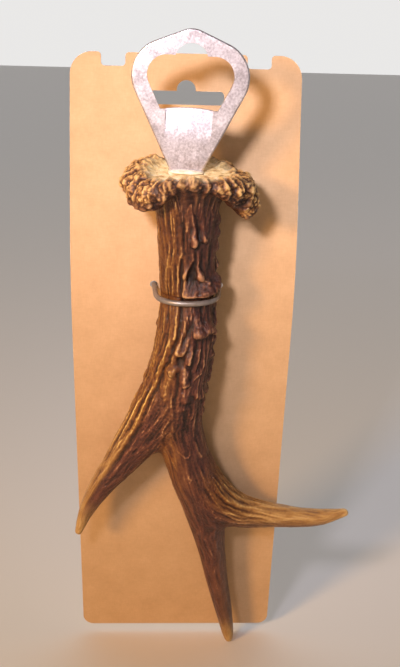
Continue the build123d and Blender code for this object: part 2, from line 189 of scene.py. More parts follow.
# Ridges (height above zero) and grooves (below zero): half width, then places of
# (z, angle, height). The right tine lies on its side, so its places are marked by x.
BEAM_LINES = [
    (1.6, (-40, 158, 0.3), (-60, 160, 0.6), (-80, 163, 0.5), (-100, 160, 0.6), (-116, 160, 0.5)),
    (1.2, (-42, 146, 0.3), (-60, 148, 0.6), (-78, 152, 0.6), (-95, 150, 0.6), (-112, 152, 0.5)),
    (0.8, (-54, 126, 0.0), (-56, 126, 0.7), (-62, 130, 0.9), (-69, 137, 1.0), (-78, 141, 0.7),
        (-86, 141, 0.6), (-95, 141, 0.9), (-100, 143, 0.8), (-107, 146, 0.4)),
    (0.7, (-55, 117, 0.0), (-57, 117, 0.6), (-65, 120, 0.9), (-70, 122, 0.9), (-75, 119, 0.7),
        (-77, 119, 0.0)),
    (0.8, (-46, 105, 0.0), (-50, 104, 0.4), (-54, 103, 0.7), (-58, 102, 1.2), (-62, 106, 1.0),
        (-66, 109, 1.2), (-73, 110, 0.9), (-80, 108, 0.8), (-90, 112, 1.1), (-95, 111, 1.2), (-98, 113, 1.3),
        (-99, 113, 0.2)),
    (1.0, (-98, 120, 0.3), (-101, 124, 1.0), (-105, 128, 1.1), (-108, 131, 1.1), (-112, 135, 1.0),
        (-120, 138, 0.8)),
    (0.9, (-96, 128, 0.2), (-104, 138, 0.7), (-114, 147, 0.8), (-122, 150, 0.6)),
    (0.7, (-41, 95, 0.0), (-43, 94, 0.8), (-48, 92, 0.9), (-50, 92, 0.1)),
    (1.1, (-38, 86, 0.2), (-44, 82, 1.1), (-47.5, 77, 1.4), (-50.5, 81, 0.9), (-53, 78, 1.2),
        (-55.6, 77, 0.4), (-58, 79, 0.8), (-61, 79, 1.4), (-63.5, 86, 1.3), (-66, 93, 1.5), (-68, 95, 1.8),
        (-72, 97, 1.4), (-76, 98, 1.6)),
    (0.9, (-55, 71, 0.0), (-58, 71, 0.9), (-62, 70, 1.1), (-66, 70, 1.3), (-69, 66, 1.7), (-70.5, 60, 1.6),
        (-72, 50, 1.8)),
    (0.7, (-55, 50, 0.0), (-57, 49, 0.8), (-62, 51, 0.8), (-64, 52, 0.1)),
    (1.0, (-42, 62, 0.3), (-48, 60, 0.7), (-52, 60, 0.9)),
    (0.9, (-45, 38, 0.3), (-56, 34, 0.7), (-70, 32, 0.4)),
    (0.7, (-84, 84, 0.3), (-89, 88, 0.9), (-93, 95, 0.9), (-96, 98, 0.6), (-99, 99, 0.9), (-103, 103, 1.0)),
    (0.6, (-86, 79, 0.2), (-89, 82, 0.9), (-91, 86, 0.2)),
    (0.7, (-97, 80, 0.2), (-100, 84, 0.8), (-103, 92, 0.8)),
    (0.8, (-99, 72, 0.2), (-103, 75, 0.8), (-107, 78, 0.9)),
    (0.9, (-106, 85, 0.4), (-110, 84, 1.0), (-115, 83, 1.1)),
    (0.6, (-98, 46, 0.2), (-103, 46, 0.9), (-108, 43, 0.9), (-112, 48, 1.0), (-113.5, 57, 1.0),
        (-115.5, 63, 0.7)),
    (0.8, (-98, 57, 0.3), (-104, 58, 0.7), (-110, 60, 0.5)),
    (0.8, (-99, 33, 0.3), (-106, 34, 0.7), (-114, 32, 0.6), (-122, 36, 0.6)),
    (0.9, (-86, 40, 0.2), (-90, 44, 0.6), (-94, 46, 0.6)),
    (0.8, (-113, 108, 0.3), (-118, 112, 0.9), (-123, 113, 0.9), (-126, 112, 0.2)),
    (0.8, (-112, 96, 0.3), (-118, 99, 0.6), (-126, 100, 0.6), (-134, 101, 0.4)),
    (0.9, (-117, 78, 0.4), (-121, 76, 0.8), (-125, 75, 0.9)),
    (0.6, (-131, 76, 0.2), (-134, 76, 1.0), (-137, 77, 0.9), (-140, 80, 0.3)),
    (1.0, (-128, 50, 0.3), (-134, 46, 0.8), (-140, 46, 0.8), (-147, 50, 0.3)),
    (0.8, (-126, 24, 0.3), (-135, 20, 0.7), (-146, 24, 0.5), (-156, 30, 0.4)),
    (0.6, (-151, 99, 0.2), (-153.5, 97, 0.6), (-155.5, 92, 0.8), (-157, 86, 1.0), (-157.2, 79, 1.0),
        (-156, 72, 0.8), (-153.5, 67, 0.6), (-151, 66, 0.2)),
    (3.4, (-151, 84, 0.2), (-154, 82, 0.6)),
    (0.9, (-150, 54, 0.1), (-152.5, 52, 0.9), (-156.5, 52, 1.2), (-160, 46, 1.1), (-162, 43, 0.2)),
    (0.7, (-151, 125, 0.5), (-156, 123, 0.6), (-160, 119, 0.9), (-164, 117, 0.3)),
    (0.6, (-165, 92, 0.2), (-168, 91, 0.9), (-169.5, 86, 0.9), (-171, 92, 0.4), (-176, 91, 0.7),
        (-181, 92, 0.3)),
    (0.6, (-165, 122, 0.3), (-170, 120, 0.7), (-175, 120, 0.7), (-180, 117, 0.3)),
    (0.6, (-184, 90, 0.2), (-185.5, 78, 0.5), (-187.5, 66, 0.6), (-187, 56, 0.3)),
    (0.6, (-195, 103, 0.2), (-200, 107, 0.6), (-206, 112, 0.5), (-212, 114, 0.2)),
    (0.8, (-205, 88, 0.2), (-225, 90, 0.4), (-245, 92, 0.3)),
    (0.8, (-205, 66, 0.2), (-222, 68, 0.4), (-250, 72, 0.3)),
    (0.8, (-240, 112, 0.2), (-252, 112, 0.5), (-264, 110, 0.2)),
    (0.9, (-60, 100, 0.0), (-63, 101, -1.1), (-72, 102, -1.4), (-80, 101, -1.3), (-86, 103, -1.0),
        (-92, 105, -1.1), (-98, 106, -1.2), (-101, 111, -1.4), (-107, 117, -1.4), (-112, 124, -1.4),
        (-117, 129, -1.2), (-124, 131, -0.6)),
    (0.9, (-38, 99, -0.3), (-44, 98, -0.8), (-52, 97, -0.9), (-58, 97, -0.6)),
    (1.0, (-40, 76, -0.6), (-46, 71, -1.1), (-49, 69, -1.3), (-53, 69, -1.3), (-57, 72, -0.9),
        (-61, 74, -0.6)),
    (2.4, (-63.5, 78, -0.8), (-66, 82, -1.5), (-69, 87, -1.3), (-71, 88, -0.6)),
    (1.6, (-57, 60, -0.6), (-63, 62, -1.0), (-66, 63, -0.7)),
    (1.4, (-57, 40, -0.5), (-66, 42, -0.8)),
    (0.9, (-91, 80, -0.6), (-95, 86, -1.0), (-98, 92, -0.8)),
    (1.8, (-106, 94, -1.0), (-108, 97, -0.9)),
    (1.2, (-99, 64, -1.0), (-104, 67, -0.9), (-110, 70, -0.9), (-115, 70, -0.8)),
    (0.9, (-99, 51, -0.7), (-106, 51, -0.7), (-111, 54, -0.8)),
    (1.2, (-112, 96, -0.6), (-118, 92, -0.8), (-128, 90, -0.5)),
    (1.8, (-125.8, 70, -1.0), (-127.5, 64, -1.2), (-129, 62, -0.8)),
    (2.2, (-131.5, 69, -1.1), (-137, 68, -1.2), (-142, 69, -0.8)),
    (1.0, (-128, 38, -0.4), (-138, 36, -0.7), (-148, 38, -0.4)),
]
LEFT_LINES = [
    (0.7, (-122, 146, 0.3), (-128, 148, 0.8), (-138, 152, 0.9), (-147, 155, 0.9), (-157, 154, 0.7),
        (-164, 154, 0.2)),
    (0.9, (-118, 134, 0.5), (-128, 134, 1.0), (-135, 133, 1.1), (-143, 131, 1.2), (-150, 131, 1.1),
        (-160, 133, 1.0), (-168, 135, 0.8), (-178, 138, 0.5), (-188, 140, 0.2)),
    (0.7, (-150, 142, 0.3), (-156, 143, 0.8), (-162, 144, 0.7), (-170, 146, 0.3)),
    (0.9, (-150, 107, 0.2), (-155, 106, 0.8), (-160, 106, 0.9), (-167, 104, 0.7), (-174, 102, 0.3)),
    (0.7, (-162, 118, 0.2), (-168, 116, 0.5), (-178, 113, 0.4)),
    (1.0, (-135, 170, 0.3), (-150, 172, 0.6), (-170, 172, 0.5), (-185, 170, 0.3)),
    (0.9, (-118, 122, 0.4), (-126, 121, 0.8), (-134, 120, 0.7), (-139, 118, 0.2)),
    (0.8, (-122, 141, -0.5), (-135, 142, -0.8), (-146, 143, -0.8), (-155, 146, -0.5)),
    (0.9, (-120, 127, -0.4), (-130, 127, -0.8), (-138, 126, -0.6)),
    (1.5, (-139, 119, -0.3), (-146, 121, -1.1), (-156, 121, -1.2), (-165, 119, -1.0), (-175, 117, -0.8),
        (-187, 115, -0.4)),
    (1.2, (-156, 92, -0.4), (-165, 90, -0.7), (-176, 88, -0.4)),
    (0.9, (-132, 163, -0.4), (-148, 165, -0.7), (-165, 164, -0.5)),
]
RIGHT_LINES = [
    (1.3, (6, 52, 0.6), (13, 50, 1.1), (20, 50, 1.2), (25, 42, 1.1), (32, 36, 0.8), (45, 36, 0.5),
        (58, 40, 0.2)),
    (0.8, (27, 38, 0.3), (36, 42, 0.6), (44, 54, 0.8), (52, 62, 0.7), (60, 66, 0.3)),
    (0.7, (16, 66, 0.2), (24, 62, 0.7), (33, 60, 0.7), (42, 66, 0.6), (50, 72, 0.3)),
    (0.7, (18, 80, 0.2), (27, 78, 0.5), (38, 82, 0.5), (50, 86, 0.3)),
    (0.8, (12, 22, 0.2), (22, 18, 0.6), (36, 12, 0.5), (54, 14, 0.3)),
    (0.9, (10, 62, -0.4), (18, 60, -0.7), (25, 54, -0.8), (34, 50, -0.8), (42, 60, -0.7), (50, 68, -0.4)),
    (0.8, (18, 72, -0.3), (28, 70, -0.6), (40, 74, -0.5)),
    (0.9, (12, 34, -0.3), (22, 30, -0.6), (36, 24, -0.5), (52, 26, -0.2)),
]

# Burr rim: (angle, distance out, height, radius); angle 0 is right, 90 is the back.
BURR_RIM = [
    (0.0, 20.6, -6.0, 6.2),
    (20.0, 20.2, -4.6, 5.9),
    (40.0, 19.6, -3.0, 5.4),
    (65.0, 19.3, -2.4, 5.2),
    (90.0, 19.2, -2.4, 5.4),
    (115.0, 19.3, -2.2, 5.4),
    (140.0, 19.8, -1.2, 5.6),
    (160.0, 20.4, -1.6, 6.1),
    (180.0, 20.6, -2.8, 6.5),
    (200.0, 20.4, -3.8, 6.4),
    (218.0, 19.9, -4.0, 5.7),
    (232.0, 19.4, -1.6, 4.3),
    (246.0, 18.9, 1.2, 2.9),
    (262.0, 18.5, 2.4, 2.1),
    (280.0, 18.4, 2.6, 2.0),
    (296.0, 18.6, 1.9, 2.6),
    (312.0, 19.3, 0.4, 3.7),
    (328.0, 20.0, -1.8, 4.9),
    (343.0, 20.4, -4.2, 5.8),
]
# Flare of the shaft under the burr: (height, radius).
BURR_FLARE = [
    (-19.0, 10.6), (-16.0, 11.7), (-11.0, 12.6), (-7.0, 13.9), (-4.0, 15.6), (-1.5, 17.8), (4.0, 20.0),
]
# Lobe that hangs down at the burr's right: (x, y, z, radius).
BURR_LOBE = [(23.0, -31.0, -34.5, 5.2), (24.4, -32.0, -39.0, 4.8), (25.2, -32.7, -42.4, 4.2)]
BURR_X = 1.2
BURR_Z = -30.0
BURR_TOP = 1.9              # height of the pale top above the burr's centre
SEAT_DEPTH = 3.5            # the beam's end is hidden this far below that top

# Grain of the streaks and folds: how fast each noise changes (across, front, along).
BROAD_STREAKS = (0.25, 0.25, 0.020)
NARROW_STREAKS = (0.60, 0.60, 0.060)
STREAK_BREAKS = (0.30, 0.30, 0.18)
STREAK_LEVEL = 0.42         # streaks above this stand out, the rest sink in
BURR_FOLDS = (0.30, 0.30, 0.10)
BURR_FLUTES = (0.34, 0.34, 0.03)

# ---- camera, in metres and degrees ----
CAMERA_PLACE = (-0.0090, -0.3822 + CREST_Y * MM, 0.0145)
CAMERA_YAW = 2.55
CAMERA_PITCH = 17.07
CAMERA_ROLL = 1.43
CAMERA_LENS = 47.5          # in millimetres, for a sensor 36 mm wide


def shaft_axis_y(z):
    """The antler's leaning axis, in front of the card."""
    return CREST_Y - SHAFT_AXIS_OFFSET + (TIE_Z - z) * LEAN_RATE


def card_front_y(z):
    """Front face of the bowed card at heights z."""
    away = np.abs(z - BOW_Z)
    bent = CREST_Y + BOW_RADIUS - np.sqrt(BOW_RADIUS**2 - np.minimum(away, BEND_HALF_HEIGHT) ** 2)
    return bent + np.maximum(away - BEND_HALF_HEIGHT, 0.0) * LEAN_RATE


# ---- small mesh tools ----
def new_object(name, data):
    """An object in the scene."""
    thing = bpy.data.objects.new(name, data)
    bpy.context.scene.collection.objects.link(thing)
    return thing


def make_piece(name, points, faces, body, material):
    """A smooth mesh object that rides on a body; points are in millimetres."""
    mesh = bpy.data.meshes.new(name)
    mesh.from_pydata((np.asarray(points) * MM).tolist(), [], [tuple(face) for face in faces])
    mesh.validate()
    mesh.update()
    mesh.polygons.foreach_set("use_smooth", [True] * len(mesh.polygons))
    mesh.materials.append(material)
    piece = new_object(name, mesh)
    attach(piece, body)
    return piece


def add_attribute(piece, name, values):
    """A number or a vector for each vertex, for the material to read."""
    values = np.asarray(values, np.float32)
    kind, key = ("FLOAT_VECTOR", "vector") if values.ndim == 2 else ("FLOAT", "value")
    attribute = piece.data.attributes.new(name, kind, "POINT")
    attribute.data.foreach_set(key, values.ravel())


def part_along(offset, axis):
    """Dot product of an offset and an axis, each given as its three parts."""
    return sum(part * way for part, way in zip(offset, axis))


def vertex_normals(points, quads):
    """Area-weighted vertex normals of a quad mesh."""
    across = points[quads[:, 2]] - points[quads[:, 0]]
    along = points[quads[:, 3]] - points[quads[:, 1]]
    face_normals = np.cross(across, along)
    normals = np.zeros_like(points)
    for corner in range(4):
        np.add.at(normals, quads[:, corner], face_normals)
    return normals / np.maximum(np.linalg.norm(normals, axis=1, keepdims=True), 1e-9)


def relax(points, quads, rounds):
    """Move each point half way to the mean of its neighbours, so many times."""
    near = np.vstack([quads[:, [i, (i + 1) % 4]] for i in range(4)])
    near = np.vstack([near, near[:, ::-1]])
    count = len(points)
    shares = np.bincount(near[:, 0], minlength=count)
    for _ in range(rounds):
        sums = [np.bincount(near[:, 0], points[near[:, 1], axis], count) for axis in range(3)]
        points = points + 0.5 * (np.stack(sums, axis=1) / shares[:, None] - points)
    return points


def bulge(points, quads, rounds):
    """How far each point stands out of its smoothed neighbourhood."""
    return ((points - relax(points, quads, rounds)) * vertex_normals(points, quads)).sum(axis=1)


def soft_union(a, b, soft):
    """Union of two distance fields with a fillet of about the given size."""
    overlap = np.maximum(soft - np.abs(a - b), 0.0) / soft
    return np.minimum(a, b) - 0.25 * soft * overlap**2


class Field:
    """A distance field sampled on a grid, negative inside."""

    FAR = 9.0

    def __init__(self, low, high, step):
        self.low = np.array(low, float)
        self.step = step
        counts = np.ceil((np.array(high, float) - self.low) / step).astype(int) + 1
        self.values = np.full(counts, self.FAR, np.float32)

    def window(self, low, high):
        """Slices and coordinates of the grid points inside a box."""
        first = np.floor((np.asarray(low) - self.low) / self.step).astype(int)
        last = np.ceil((np.asarray(high) - self.low) / self.step).astype(int) + 1
        first = np.clip(first, 0, self.values.shape)
        last = np.clip(last, 0, self.values.shape)
        slices = tuple(slice(a, b) for a, b in zip(first, last))
        axes = [self.low[i] + self.step * np.arange(first[i], last[i]) for i in range(3)]
        return slices, np.meshgrid(*axes, indexing="ij", sparse=True)

    def limb(self, start, end, start_radius, end_radius, soft=0.0):
        """Add a tapered round-ended limb."""
        start, end = np.asarray(start, float), np.asarray(end, float)
        margin = max(start_radius, end_radius) + 2.0 + soft
        low, high = np.minimum(start, end) - margin, np.maximum(start, end) + margin
        slices, place = self.window(low, high)
        line = end - start
        offset = [axis - first for axis, first in zip(place, start)]
        share = np.clip(part_along(offset, line) / max(float(line @ line), 1e-9), 0.0, 1.0)
        gap = np.sqrt(sum((part - share * way) ** 2 for part, way in zip(offset, line)))
        gap -= start_radius + share * (end_radius - start_radius)
        before = self.values[slices]
        self.values[slices] = soft_union(before, gap, soft) if soft else np.minimum(before, gap)

    def flare(self, centre, up, profile):
        """Add a solid of revolution given by (height, radius) places along its axis."""
        heights, radii = np.array(profile).T
        place = self.window(self.low, self.low + self.step * np.array(self.values.shape))[1]
        offset = [axis - middle for axis, middle in zip(place, centre)]
        height = part_along(offset, up)
        across = np.sqrt(np.maximum(sum(part**2 for part in offset) - height**2, 0.0))
        gap = 0.8 * (across - np.interp(height, heights, radii))
        self.values = np.minimum(self.values, np.maximum(gap, heights[0] - height)).astype(np.float32)

    def join(self, other, soft):
        """Blend in another field whose grid lies on this one's."""
        first = np.round((other.low - self.low) / self.step).astype(int)
        slices = tuple(slice(a, a + n) for a, n in zip(first, other.values.shape))
        self.values[slices] = soft_union(self.values[slices], other.values, soft)

    def part(self, low, high):
        """An empty field on a part of this one's grid."""
        low = self.low + self.step * np.round((np.asarray(low) - self.low) / self.step)
        return Field(np.maximum(low, self.low), high, self.step)

    def carve(self, low, high, distance):
        """Take away what lies inside distance(x, y, z) < 0, within a box."""
        slices, (x, y, z) = self.window(low, high)
        self.values[slices] = np.maximum(self.values[slices], -distance(x, y, z))

    def mesh(self):
        """Surface net: points and quads of the zero surface."""
        inside = self.values < 0.0
        shape = np.array(inside.shape) - 1
        corners = [(i, j, k) for i in (0, 1) for j in (0, 1) for k in (0, 1)]
        held = np.zeros(shape, np.int8)
        for i, j, k in corners:
            held += inside[i : i + shape[0], j : j + shape[1], k : k + shape[2]]
        active = (held > 0) & (held < len(corners))
        cells = np.argwhere(active)
        index = np.full(shape, -1, np.int32)
        index[active] = np.arange(len(cells))
        values = np.stack([self.values[tuple((cells + c).T)] for c in corners], axis=1).astype(float)
        sums = np.zeros((len(cells), 3))
        counts = np.zeros(len(cells))
        for a, start in enumerate(corners):
            for b, end in enumerate(corners):
                if b <= a or sum(p != q for p, q in zip(start, end)) != 1:
                    continue
                hit = (values[:, a] < 0.0) != (values[:, b] < 0.0)
                share = values[hit, a] / (values[hit, a] - values[hit, b])
                sums[hit] += np.array(start) + share[:, None] * (np.array(end) - np.array(start))
                counts[hit] += 1.0
        points = self.low + self.step * (cells + sums / counts[:, None])
        quads = []
        for axis in range(3):
            far = corners.index(tuple(int(i == axis) for i in range(3)))
            hit = (values[:, 0] < 0.0) != (values[:, far] < 0.0)
            first, second = [i for i in range(3) if i != axis]
            around = []
            for p, q in ((0, 0), (1, 0), (1, 1), (0, 1)):
                cell = cells[hit].copy()
                cell[:, first] -= p
                cell[:, second] -= q
                around.append(index[tuple(cell.T)])
            faces = np.stack(around, axis=1)
            flipped = (values[hit, 0] < 0.0) == (axis == 1)
            faces[flipped] = faces[flipped][:, ::-1]
            quads.append(faces)
        return points, np.vstack(quads)


# ---- branches of the antler ----
class Branch:
    """A centreline with radii, its arc length, and a frame that turns with it."""

    def __init__(self, stations, spacing=1.2):
        knots = np.array([(x, shaft_axis_y(z) + dy, z, r) for x, dy, z, r in stations])
        dense = [knots[0]]
        for i in range(len(knots) - 1):
            before, after = knots[max(i - 1, 0)], knots[min(i + 2, len(knots) - 1)]
            a, b = knots[i], knots[i + 1]
            steps = max(int(np.linalg.norm(b[:3] - a[:3]) / spacing), 2)
            for k in range(1, steps + 1):
                s = k / steps
                blend = 2 * a + (b - before) * s + (2 * before - 5 * a + 4 * b - after) * s**2
                blend = blend + (3 * a - before - 3 * b + after) * s**3
                dense.append(0.5 * blend)
        dense = np.array(dense)
        self.points, self.radii = dense[:, :3], dense[:, 3]
        steps = np.linalg.norm(np.diff(self.points, axis=0), axis=1)
        self.lengths = np.concatenate([[0.0], np.cumsum(steps)])
        self.tangents = np.gradient(self.points, axis=0)
        self.tangents /= np.linalg.norm(self.tangents, axis=1, keepdims=True)
        side = np.array([1.0, 0.0, 0.0])
        self.sides = []
        for tangent in self.tangents:
            side = side - tangent * (side @ tangent)
            side = side / np.linalg.norm(side)
            self.sides.append(side)
        self.sides = np.array(self.sides)
        self.fronts = np.cross(self.tangents, self.sides)

    def fill(self, field):
        """Draw the branch into a field."""
        for i in range(len(self.points) - 1):
            field.limb(self.points[i], self.points[i + 1], self.radii[i], self.radii[i + 1])

    def locate(self, points):
        """Depth inside the branch, and (across, front, along) coordinates, of each point."""
        nearest = np.empty(len(points), int)
        gaps = np.empty(len(points))
        for first in range(0, len(points), 20000):
            chunk = points[first : first + 20000]
            square = ((chunk[:, None, :] - self.points[None, :, :]) ** 2).sum(axis=2)
            scaled = np.sqrt(square) - self.radii[None, :]
            best = scaled.argmin(axis=1)
            nearest[first : first + 20000] = best
            gaps[first : first + 20000] = scaled[np.arange(len(chunk)), best]
        offset = points - self.points[nearest]
        axes = (self.sides, self.fronts, self.tangents)
        local = np.stack([(offset * axis[nearest]).sum(axis=1) for axis in axes], axis=1)
        local[:, 2] += self.lengths[nearest]
        return gaps, local, self.radii[nearest]

    def marks(self, along, axis):
        """The x or z of the centreline at each distance along it."""
        return np.interp(along, self.lengths, self.points[:, axis])

    def spot(self, mark, angle, out):
        """A point out from the surface, at a height z and an angle round the branch."""
        i = int(np.abs(self.points[:, 2] - mark).argmin())
        turn = math.radians(angle)
        way = self.sides[i] * math.cos(turn) + self.fronts[i] * math.sin(turn)
        return self.points[i] + way * (self.radii[i] + out)


def perlin(points, seed):
    """Smooth noise of about -1 to 1 at each point."""
    shift = Vector((seed, 0.37 * seed, -0.61 * seed))
    return np.array([noise.noise(Vector(p) + shift) for p in points.tolist()])


def cell_bumps(points, seed):
    """Round nodules: 1 at the middle of each cell, 0 at its walls."""
    shift = Vector((seed, -seed, 0.5 * seed))
    found = np.array([noise.voronoi(Vector(p) + shift)[0][:2] for p in points.tolist()])
    return np.clip((found[:, 1] - found[:, 0]) * 1.6, 0.0, 1.0)


def ridged(values, sharpness):
    """Turn smooth noise into crests where it passes through zero."""
    return np.clip(1.0 - sharpness * np.abs(values), 0.0, 1.0)


def smoothstep(values, low, high):
    """0 below low, 1 above high, and smooth between."""
    share = np.clip((values - low) / (high - low), 0.0, 1.0)
    return share * share * (3.0 - 2.0 * share)


def head_axes():
    """Unit vectors across, up and out of the front of the opener head."""
    across = np.array([math.cos(HEAD_TILT), 0.0, -math.sin(HEAD_TILT)])
    normal = np.array([0.0, -math.cos(HEAD_LEAN), -math.sin(HEAD_LEAN)])
    normal = normal - across * (across @ normal)
    normal /= np.linalg.norm(normal)
    return across, np.cross(normal, across), normal


def pocket_distance(x, y, z):
    """Distance to the tang's pocket, a little smaller than the resin that fills it."""
    offset = [axis - entry for axis, entry in zip((x, y, z), HEAD_ENTRY)]
    across, up, out = (part_along(offset, axis) for axis in head_axes())
    walls = np.maximum(np.abs(across) - POCKET_HALF_WIDTH, np.abs(out) - POCKET_HALF_DEPTH)
    return np.maximum(walls, -up - POCKET_LENGTH) + POCKET_MARGIN


def above_burr(x, y, z):
    """Negative above the burr's sloping top, positive below; the same at every x."""
    rise = (z - BURR_Z) * math.cos(BOW_LEAN)
    return BURR_TOP - rise + (y - shaft_axis_y(BURR_Z)) * math.sin(BOW_LEAN)


def skin(field):
    """Open the tang's pocket in a field and mesh it: points, quads and normals."""
    reach = np.array([12.0, 12.0, 36.0])
    field.carve(HEAD_ENTRY - reach, HEAD_ENTRY + reach, pocket_distance)
    points, quads = field.mesh()
    points = relax(points, quads, 2)
    return points, quads, vertex_normals(points, quads)


def clear_neighbours(points):
    """Keep the bone off the card, and inside the loose loop of the tie."""
    points = points.copy()
    points[:, 1] = np.minimum(points[:, 1], card_front_y(points[:, 2]) - CARD_GAP)
    axis = np.array([TIE_X, CREST_Y - SHAFT_AXIS_OFFSET])
    wire_z = WIRE_HOLE_Z + WIRE_DROP * (points[:, 1] - CREST_Y) / WIRE_FRONT_REACH
    near = 1.0 - smoothstep(np.abs(points[:, 2] - wire_z), *CLEAR_BAND)
    offset = points[:, :2] - axis
    radius = np.maximum(np.linalg.norm(offset, axis=1), 1e-6)
    allowed = LOOP_CLEAR_RADIUS + (1.0 - near) * 30.0
    squeeze = np.where(near > 0.0, np.minimum(1.0, allowed / radius), 1.0)
    points[:, :2] = axis + offset * squeeze[:, None]
    return points


def add_ledges(field):
    """Ledges and knobs that hang over at their lower edges."""
    for radius, rise, *edge in LEDGES:
        edge = np.array(edge, float)
        places = [a + share * (b - a) for a, b in zip(edge, edge[1:]) for share in (0.0, 0.34, 0.67)]
        for z, angle, out in places + [edge[-1]]:
            lip = beam.spot(z, angle, out - radius)
            root = beam.spot(z + LEDGE_RISE * rise, angle, -1.5 * radius)
            field.limb(lip, root, 0.9 * radius, 1.3 * radius, soft=LEDGE_SOFTNESS)


def line_heights(angle, mark, radius, lines):
    """Height of the ridges and depth of the grooves at each point of a branch."""
    ridge = np.zeros(len(angle))
    groove = np.zeros(len(angle))
    for width, *places in lines:
        for (mark_a, angle_a, height_a), (mark_b, angle_b, height_b) in zip(places, places[1:]):
            reach = 2.6 * width
            low, high = min(mark_a, mark_b) - reach, max(mark_a, mark_b) + reach
            rows = np.flatnonzero((mark > low) & (mark < high))
            turn = (angle[rows] - angle_a + 180.0) % 360.0 - 180.0
            scale = radius[rows]
            across, along = np.radians(turn) * scale, mark[rows] - mark_a
            line_across, line_along = math.radians(angle_b - angle_a) * scale, mark_b - mark_a
            length = np.maximum(line_across**2 + line_along**2, 1e-9)
            share = np.clip((across * line_across + along * line_along) / length, 0.0, 1.0)
            gap = np.hypot(across - share * line_across, along - share * line_along)
            height = (height_a + share * (height_b - height_a)) * np.exp(-((gap / width) ** 1.3))
            ridge[rows] = np.maximum(ridge[rows], height)
            groove[rows] = np.minimum(groove[rows], height)
    return ridge, groove


# ---- materials ----
class Nodes:
    """Short ways to add and link shader nodes."""

    def __init__(self, name):
        self.material = bpy.data.materials.new(name)
        self.material.use_nodes = True
        self.tree = self.material.node_tree
        self.shader = self.tree.nodes["Principled BSDF"]

    def add(self, kind, **settings):
        node = self.tree.nodes.new(kind)
        for key, value in settings.items():
            setattr(node, key, value)
        return node

    def put(self, source, target):
        if isinstance(source, bpy.types.NodeSocket):
            self.tree.links.new(source, target)
        else:
            target.default_value = source

    def noise(self, vector, scale, detail=4.0, roughness=0.55):
        node = self.add("ShaderNodeTexNoise")
        self.put(vector, node.inputs["Vector"])
        node.inputs["Scale"].default_value = scale
        node.inputs["Detail"].default_value = detail
        node.inputs["Roughness"].default_value = roughness
        return node.outputs["Fac"]

    def voronoi(self, vector, scale):
        node = self.add("ShaderNodeTexVoronoi")
        self.put(vector, node.inputs["Vector"])
        node.inputs["Scale"].default_value = scale
        return node.outputs["Distance"]

    def math(self, operation, a, b=0.0):
        node = self.add("ShaderNodeMath", operation=operation)
        self.put(a, node.inputs[0])
        self.put(b, node.inputs[1])
        return node.outputs[0]

    def plus(self, a, b, share):
        return self.math("ADD", a, self.math("MULTIPLY", b, share))

    def ramp(self, value, stops):
        node = self.add("ShaderNodeValToRGB")
        self.put(value, node.inputs["Fac"])
        ramp = node.color_ramp
        while len(ramp.elements) < len(stops):
            ramp.elements.new(0.5)
        for element, (place, colour) in zip(ramp.elements, stops):
            element.position = place
            element.color = (*colour, 1.0)
        return node.outputs["Color"]

    def mix(self, factor, a, b, blend="MIX"):
        node = self.add("ShaderNodeMix", data_type="RGBA", blend_type=blend)
        self.put(factor, node.inputs["Factor"])
        self.put((*a, 1.0) if isinstance(a, tuple) else a, node.inputs["A"])
        self.put((*b, 1.0) if isinstance(b, tuple) else b, node.inputs["B"])
        return node.outputs["Result"]

    def spread(self, value, low, high, new_low=0.0, new_high=1.0):
        node = self.add("ShaderNodeMapRange")
        self.put(value, node.inputs["Value"])
        node.inputs["From Min"].default_value = low
        node.inputs["From Max"].default_value = high
        node.inputs["To Min"].default_value = new_low
        node.inputs["To Max"].default_value = new_high
        return node.outputs["Result"]

    def attribute(self, name, vector=False):
        node = self.add("ShaderNodeAttribute", attribute_name=name)
        return node.outputs["Vector" if vector else "Fac"]

    def coordinates(self, scale=(1.0, 1.0, 1.0)):
        place = self.add("ShaderNodeTexCoord").outputs["Object"]
        mapping = self.add("ShaderNodeMapping")
        self.put(place, mapping.inputs["Vector"])
        mapping.inputs["Scale"].default_value = scale
        return mapping.outputs["Vector"]

    def bump(self, height, strength, distance, normal=None):
        node = self.add("ShaderNodeBump")
        self.put(height, node.inputs["Height"])
        node.inputs["Strength"].default_value = strength
        node.inputs["Distance"].default_value = distance
        if normal is not None:
            self.put(normal, node.inputs["Normal"])
        return node.outputs["Normal"]

    def finish(self, **sockets):
        for name, value in sockets.items():
            self.put(value, self.shader.inputs[name.replace("_", " ")])
        return self.material


